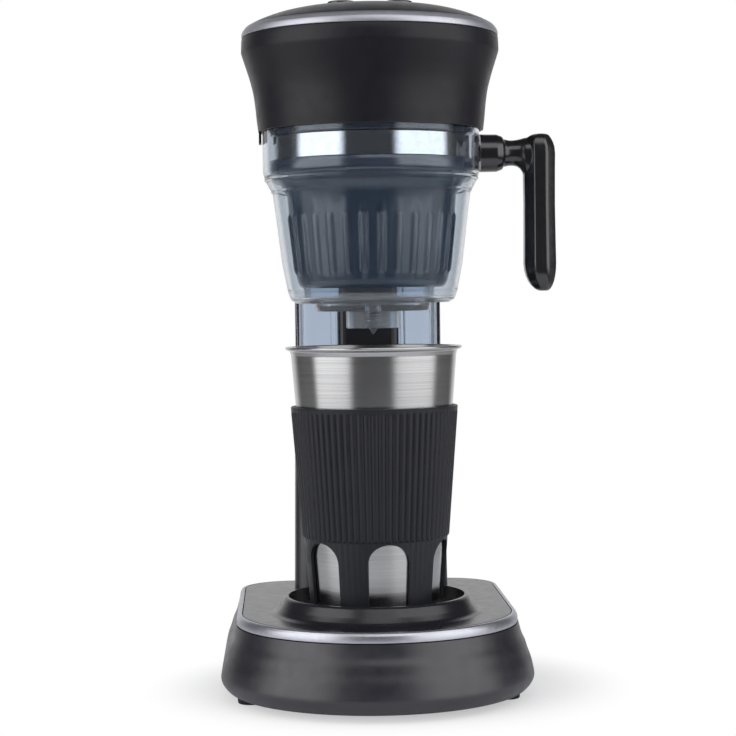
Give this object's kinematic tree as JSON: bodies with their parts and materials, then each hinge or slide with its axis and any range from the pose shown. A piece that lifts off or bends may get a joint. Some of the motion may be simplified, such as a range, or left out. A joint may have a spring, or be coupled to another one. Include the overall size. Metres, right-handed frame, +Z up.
{
  "type": "coffee maker with grinder",
  "caption": "Upright drip coffee maker: flared head with a blade grinder, clear twist-on jug with a side handle, rear water tank, and a ribbed travel mug on a round-fronted base.",
  "frame": {"origin": "on the table under the middle of the machine's outline; the brew axis stands at x -6.65 mm, y -24.25 mm", "axes": "+Z up, +X towards the jug's handle, -Y towards the user"},
  "size_m": [0.1704, 0.2056, 0.3458],
  "materials": {
    "charcoal_plastic": "satin moulded plastic, dark charcoal",
    "black_plastic": "glossy black plastic",
    "smoke_plastic": "dark blue-grey plastic, glossy",
    "clear_plastic": "clear, faintly smoky blue, polished",
    "satin_silver": "satin silver",
    "polished_steel": "mirror-polished stainless steel",
    "brushed_steel": "horizontally brushed stainless steel",
    "rubber": "matte black rubber",
    "silicone": "translucent pale silicone",
    "cast_aluminium": "die-cast aluminium",
    "circuit_board": "green solder mask"
  },
  "bodies": {
    "machine": {"base_skirt": "charcoal_plastic", "base_trim": "satin_silver", "top_deck": "charcoal_plastic", "cup_mat": "rubber", "bottom_cover": "charcoal_plastic", "foot_1": "rubber", "foot_2": "rubber", "foot_3": "rubber", "foot_4": "rubber", "cover_screw_1": "brushed_steel", "cover_screw_2": "brushed_steel", "cover_screw_3": "brushed_steel", "cover_screw_4": "brushed_steel", "boiler_block": "cast_aluminium", "thermostat": "brushed_steel", "control_board": "circuit_board", "riser_tube": "silicone", "water_hose": "silicone", "cord_gland": "rubber", "pedestal": "charcoal_plastic", "spine_front": "charcoal_plastic", "spine_rear": "charcoal_plastic", "head_neck": "charcoal_plastic", "water_tank": "clear_plastic", "tank_seal": "silicone", "lid_hinge_pin": "polished_steel", "head_shell": "charcoal_plastic", "head_trim": "satin_silver", "head_cap": "charcoal_plastic", "switch_plate": "black_plastic", "grind_switch": "black_plastic", "brew_switch": "black_plastic", "head_base": "smoke_plastic", "shower_plate": "brushed_steel", "motor": "brushed_steel", "motor_mount": "black_plastic", "shaft_bush": "silicone"},
    "jug": {"jug_body": "clear_plastic", "handle_collar": "black_plastic", "jug_handle": "black_plastic", "handle_screw": "polished_steel", "filter_basket": "smoke_plastic", "filter_mesh": "polished_steel", "filter_collar": "polished_steel", "drip_spring": "polished_steel"},
    "drip_stop": {"drip_stem": "smoke_plastic", "drip_seal": "silicone"},
    "grinder_blade": {"blade_shaft": "polished_steel", "blade": "polished_steel", "blade_nut": "polished_steel"},
    "tank_lid": {"tank_lid": "charcoal_plastic"},
    "grind_button": {"grind_button": "black_plastic"},
    "brew_button": {"brew_button": "black_plastic"},
    "mug": {"mug_outer": "brushed_steel", "mug_inner": "brushed_steel", "mug_sleeve": "rubber", "mug_base_pad": "rubber"}
  },
  "joints": [
    {"name": "jug_twist", "type": "hinge", "parent": "machine", "child": "jug", "pos_m": [-0.00665, -0.02425, 0.2828], "axis": [0, 0, 1], "range_deg": [-30, 0]},
    {"name": "drip_stop_lift", "type": "slide", "parent": "jug", "child": "drip_stop", "axis": [0, 0, 1], "range_m": [0, 0.0025], "stiffness_N_per_m": 150, "springref_m": -0.002, "deforming": ["drip_spring"]},
    {"name": "blade_spin", "type": "hinge", "parent": "machine", "child": "grinder_blade", "pos_m": [-0.00665, -0.02425, 0.214], "axis": [0, 0, 1], "continuous": true},
    {"name": "tank_lid_hinge", "type": "hinge", "parent": "machine", "child": "tank_lid", "pos_m": [-0.00665, 0.09055, 0.2955], "axis": [-1, 0, 0], "range_deg": [0, 100]},
    {"name": "grind_press", "type": "slide", "parent": "machine", "child": "grind_button", "axis": [0, 0, -1], "range_m": [0, 0.0015], "stiffness_N_per_m": 200, "springref_m": -0.002},
    {"name": "brew_press", "type": "slide", "parent": "machine", "child": "brew_button", "axis": [0, 0, -1], "range_m": [0, 0.0015], "stiffness_N_per_m": 200, "springref_m": -0.002},
    {"name": "mug_lift", "type": "slide", "parent": "machine", "child": "mug", "axis": [0, 0, 1], "range_m": [0, 0.018]}
  ]
}
